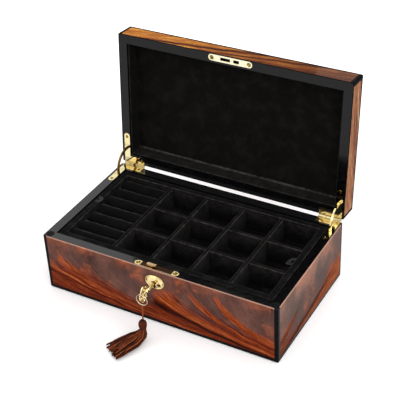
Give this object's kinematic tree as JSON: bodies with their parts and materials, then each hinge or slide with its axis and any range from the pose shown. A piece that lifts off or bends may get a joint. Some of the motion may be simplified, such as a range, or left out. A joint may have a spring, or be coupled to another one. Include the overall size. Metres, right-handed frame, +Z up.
{
  "type": "cufflink display box",
  "caption": "Veneered wooden display box with a hinged lid on quadrant stays, a lift-out tray of rolls and square cells, a hook-bolt lock and a tasselled key.",
  "frame": {"origin": "centre of the underside of the base, on the surface that the box stands on", "axes": "+X along the front to the right, +Y from the front to the hinges at the back, +Z up; the lid is stored open"},
  "size_m": [0.29, 0.2764, 0.2399],
  "materials": {
    "mahogany_veneer": "high gloss lacquer over crotch figure",
    "black_lacquer": "high gloss black lacquer",
    "black_suede": "matt suede",
    "felt": "felt",
    "brass": "polished",
    "lock_steel": "plain",
    "bumper_rubber": "matt",
    "ribbon": "satin",
    "tassel_silk": "twisted silk"
  },
  "bodies": {
    "base": {"base_front_wall": "black_lacquer", "base_back_wall": "black_lacquer", "base_left_wall": "black_lacquer", "base_right_wall": "black_lacquer", "bottom_panel": "black_lacquer", "underside_felt": "felt", "base_front_veneer": "mahogany_veneer", "base_back_veneer": "mahogany_veneer", "base_left_veneer": "mahogany_veneer", "base_right_veneer": "mahogany_veneer", "base_corner_strips": "black_lacquer", "rim_bumpers": "bumper_rubber", "compartment_floor_pad": "black_suede", "compartment_lining": "black_suede", "lock_case": "lock_steel", "lock_faceplate": "brass", "lock_screws": "brass", "escutcheon": "brass", "escutcheon_pins": "brass", "base_hinge_leaves": "brass", "hinge_pins": "brass", "base_hinge_screws": "brass"},
    "lid": {"lid_front_wall": "black_lacquer", "lid_back_wall": "black_lacquer", "lid_left_wall": "black_lacquer", "lid_right_wall": "black_lacquer", "lid_top_panel": "black_lacquer", "lid_top_veneer": "mahogany_veneer", "lid_front_veneer": "mahogany_veneer", "lid_back_veneer": "mahogany_veneer", "lid_left_veneer": "mahogany_veneer", "lid_right_veneer": "mahogany_veneer", "lid_corner_strips": "black_lacquer", "lid_top_strip": "black_lacquer", "lid_lining_pad": "black_suede", "lid_lining_boards": "black_suede", "strike_plate": "brass", "strike_screws": "brass", "lid_hinge_leaves": "brass", "lid_hinge_screws": "brass"},
    "left_stay": {"left_stay": "brass"},
    "right_stay": {"right_stay": "brass"},
    "tray": {"tray_floor": "black_suede", "tray_left_wall": "black_suede", "tray_right_wall": "black_suede", "tray_front_wall": "black_suede", "tray_back_wall": "black_suede", "tray_separator": "black_suede", "tray_column_dividers": "black_suede", "tray_row_dividers": "black_suede", "cufflink_rolls": "black_suede", "tray_pull_ribbons": "ribbon"},
    "key_collar": {"key_collar": "brass"},
    "key": {"key": "brass"},
    "lock_bolt": {"hook_bolt": "brass"},
    "tassel": {"key_ring": "brass", "tassel_cord": "tassel_silk", "tassel_head": "tassel_silk", "tassel_skirt": "tassel_silk"}
  },
  "joints": [
    {"name": "lid_hinge", "type": "hinge", "parent": "base", "child": "lid", "pos_m": [0, 0.0849, 0.0732], "axis": [-1, 0, 0], "range_deg": [-95, 0]},
    {"name": "left_stay_slide", "type": "hinge", "parent": "base", "child": "left_stay", "pos_m": [-0.138, 0.0849, 0.0732], "axis": [-1, 0, 0], "range_deg": [-47.5, 0]},
    {"name": "right_stay_slide", "type": "hinge", "parent": "base", "child": "right_stay", "pos_m": [0.138, 0.0849, 0.0732], "axis": [-1, 0, 0], "range_deg": [-47.5, 0]},
    {"name": "tray_lift", "type": "slide", "parent": "base", "child": "tray", "axis": [0, 0, 1], "range_m": [0, 0.075]},
    {"name": "key_withdraw", "type": "slide", "parent": "base", "child": "key_collar", "axis": [0, -1, 0], "range_m": [0, 0.03]},
    {"name": "key_turn", "type": "hinge", "parent": "key_collar", "child": "key", "pos_m": [0, -0.0825, 0.058], "axis": [0, 1, 0], "range_deg": [-90, 0]},
    {"name": "bolt_throw", "type": "slide", "parent": "base", "child": "lock_bolt", "axis": [1, 0, 0], "range_m": [0, 0.0028]},
    {"name": "ring_swing", "type": "hinge", "parent": "key", "child": "tassel", "pos_m": [0, -0.11, 0.0542], "axis": [0, 1, 0], "range_deg": [0, 90]}
  ],
  "couplings": [
    {"joint": "left_stay_slide", "follows": "lid_hinge", "ratio": 0.5},
    {"joint": "right_stay_slide", "follows": "lid_hinge", "ratio": 0.5},
    {"joint": "bolt_throw", "follows": "key_turn", "m_per_rad": -0.0017825},
    {"joint": "ring_swing", "follows": "key_turn", "ratio": -1}
  ]
}
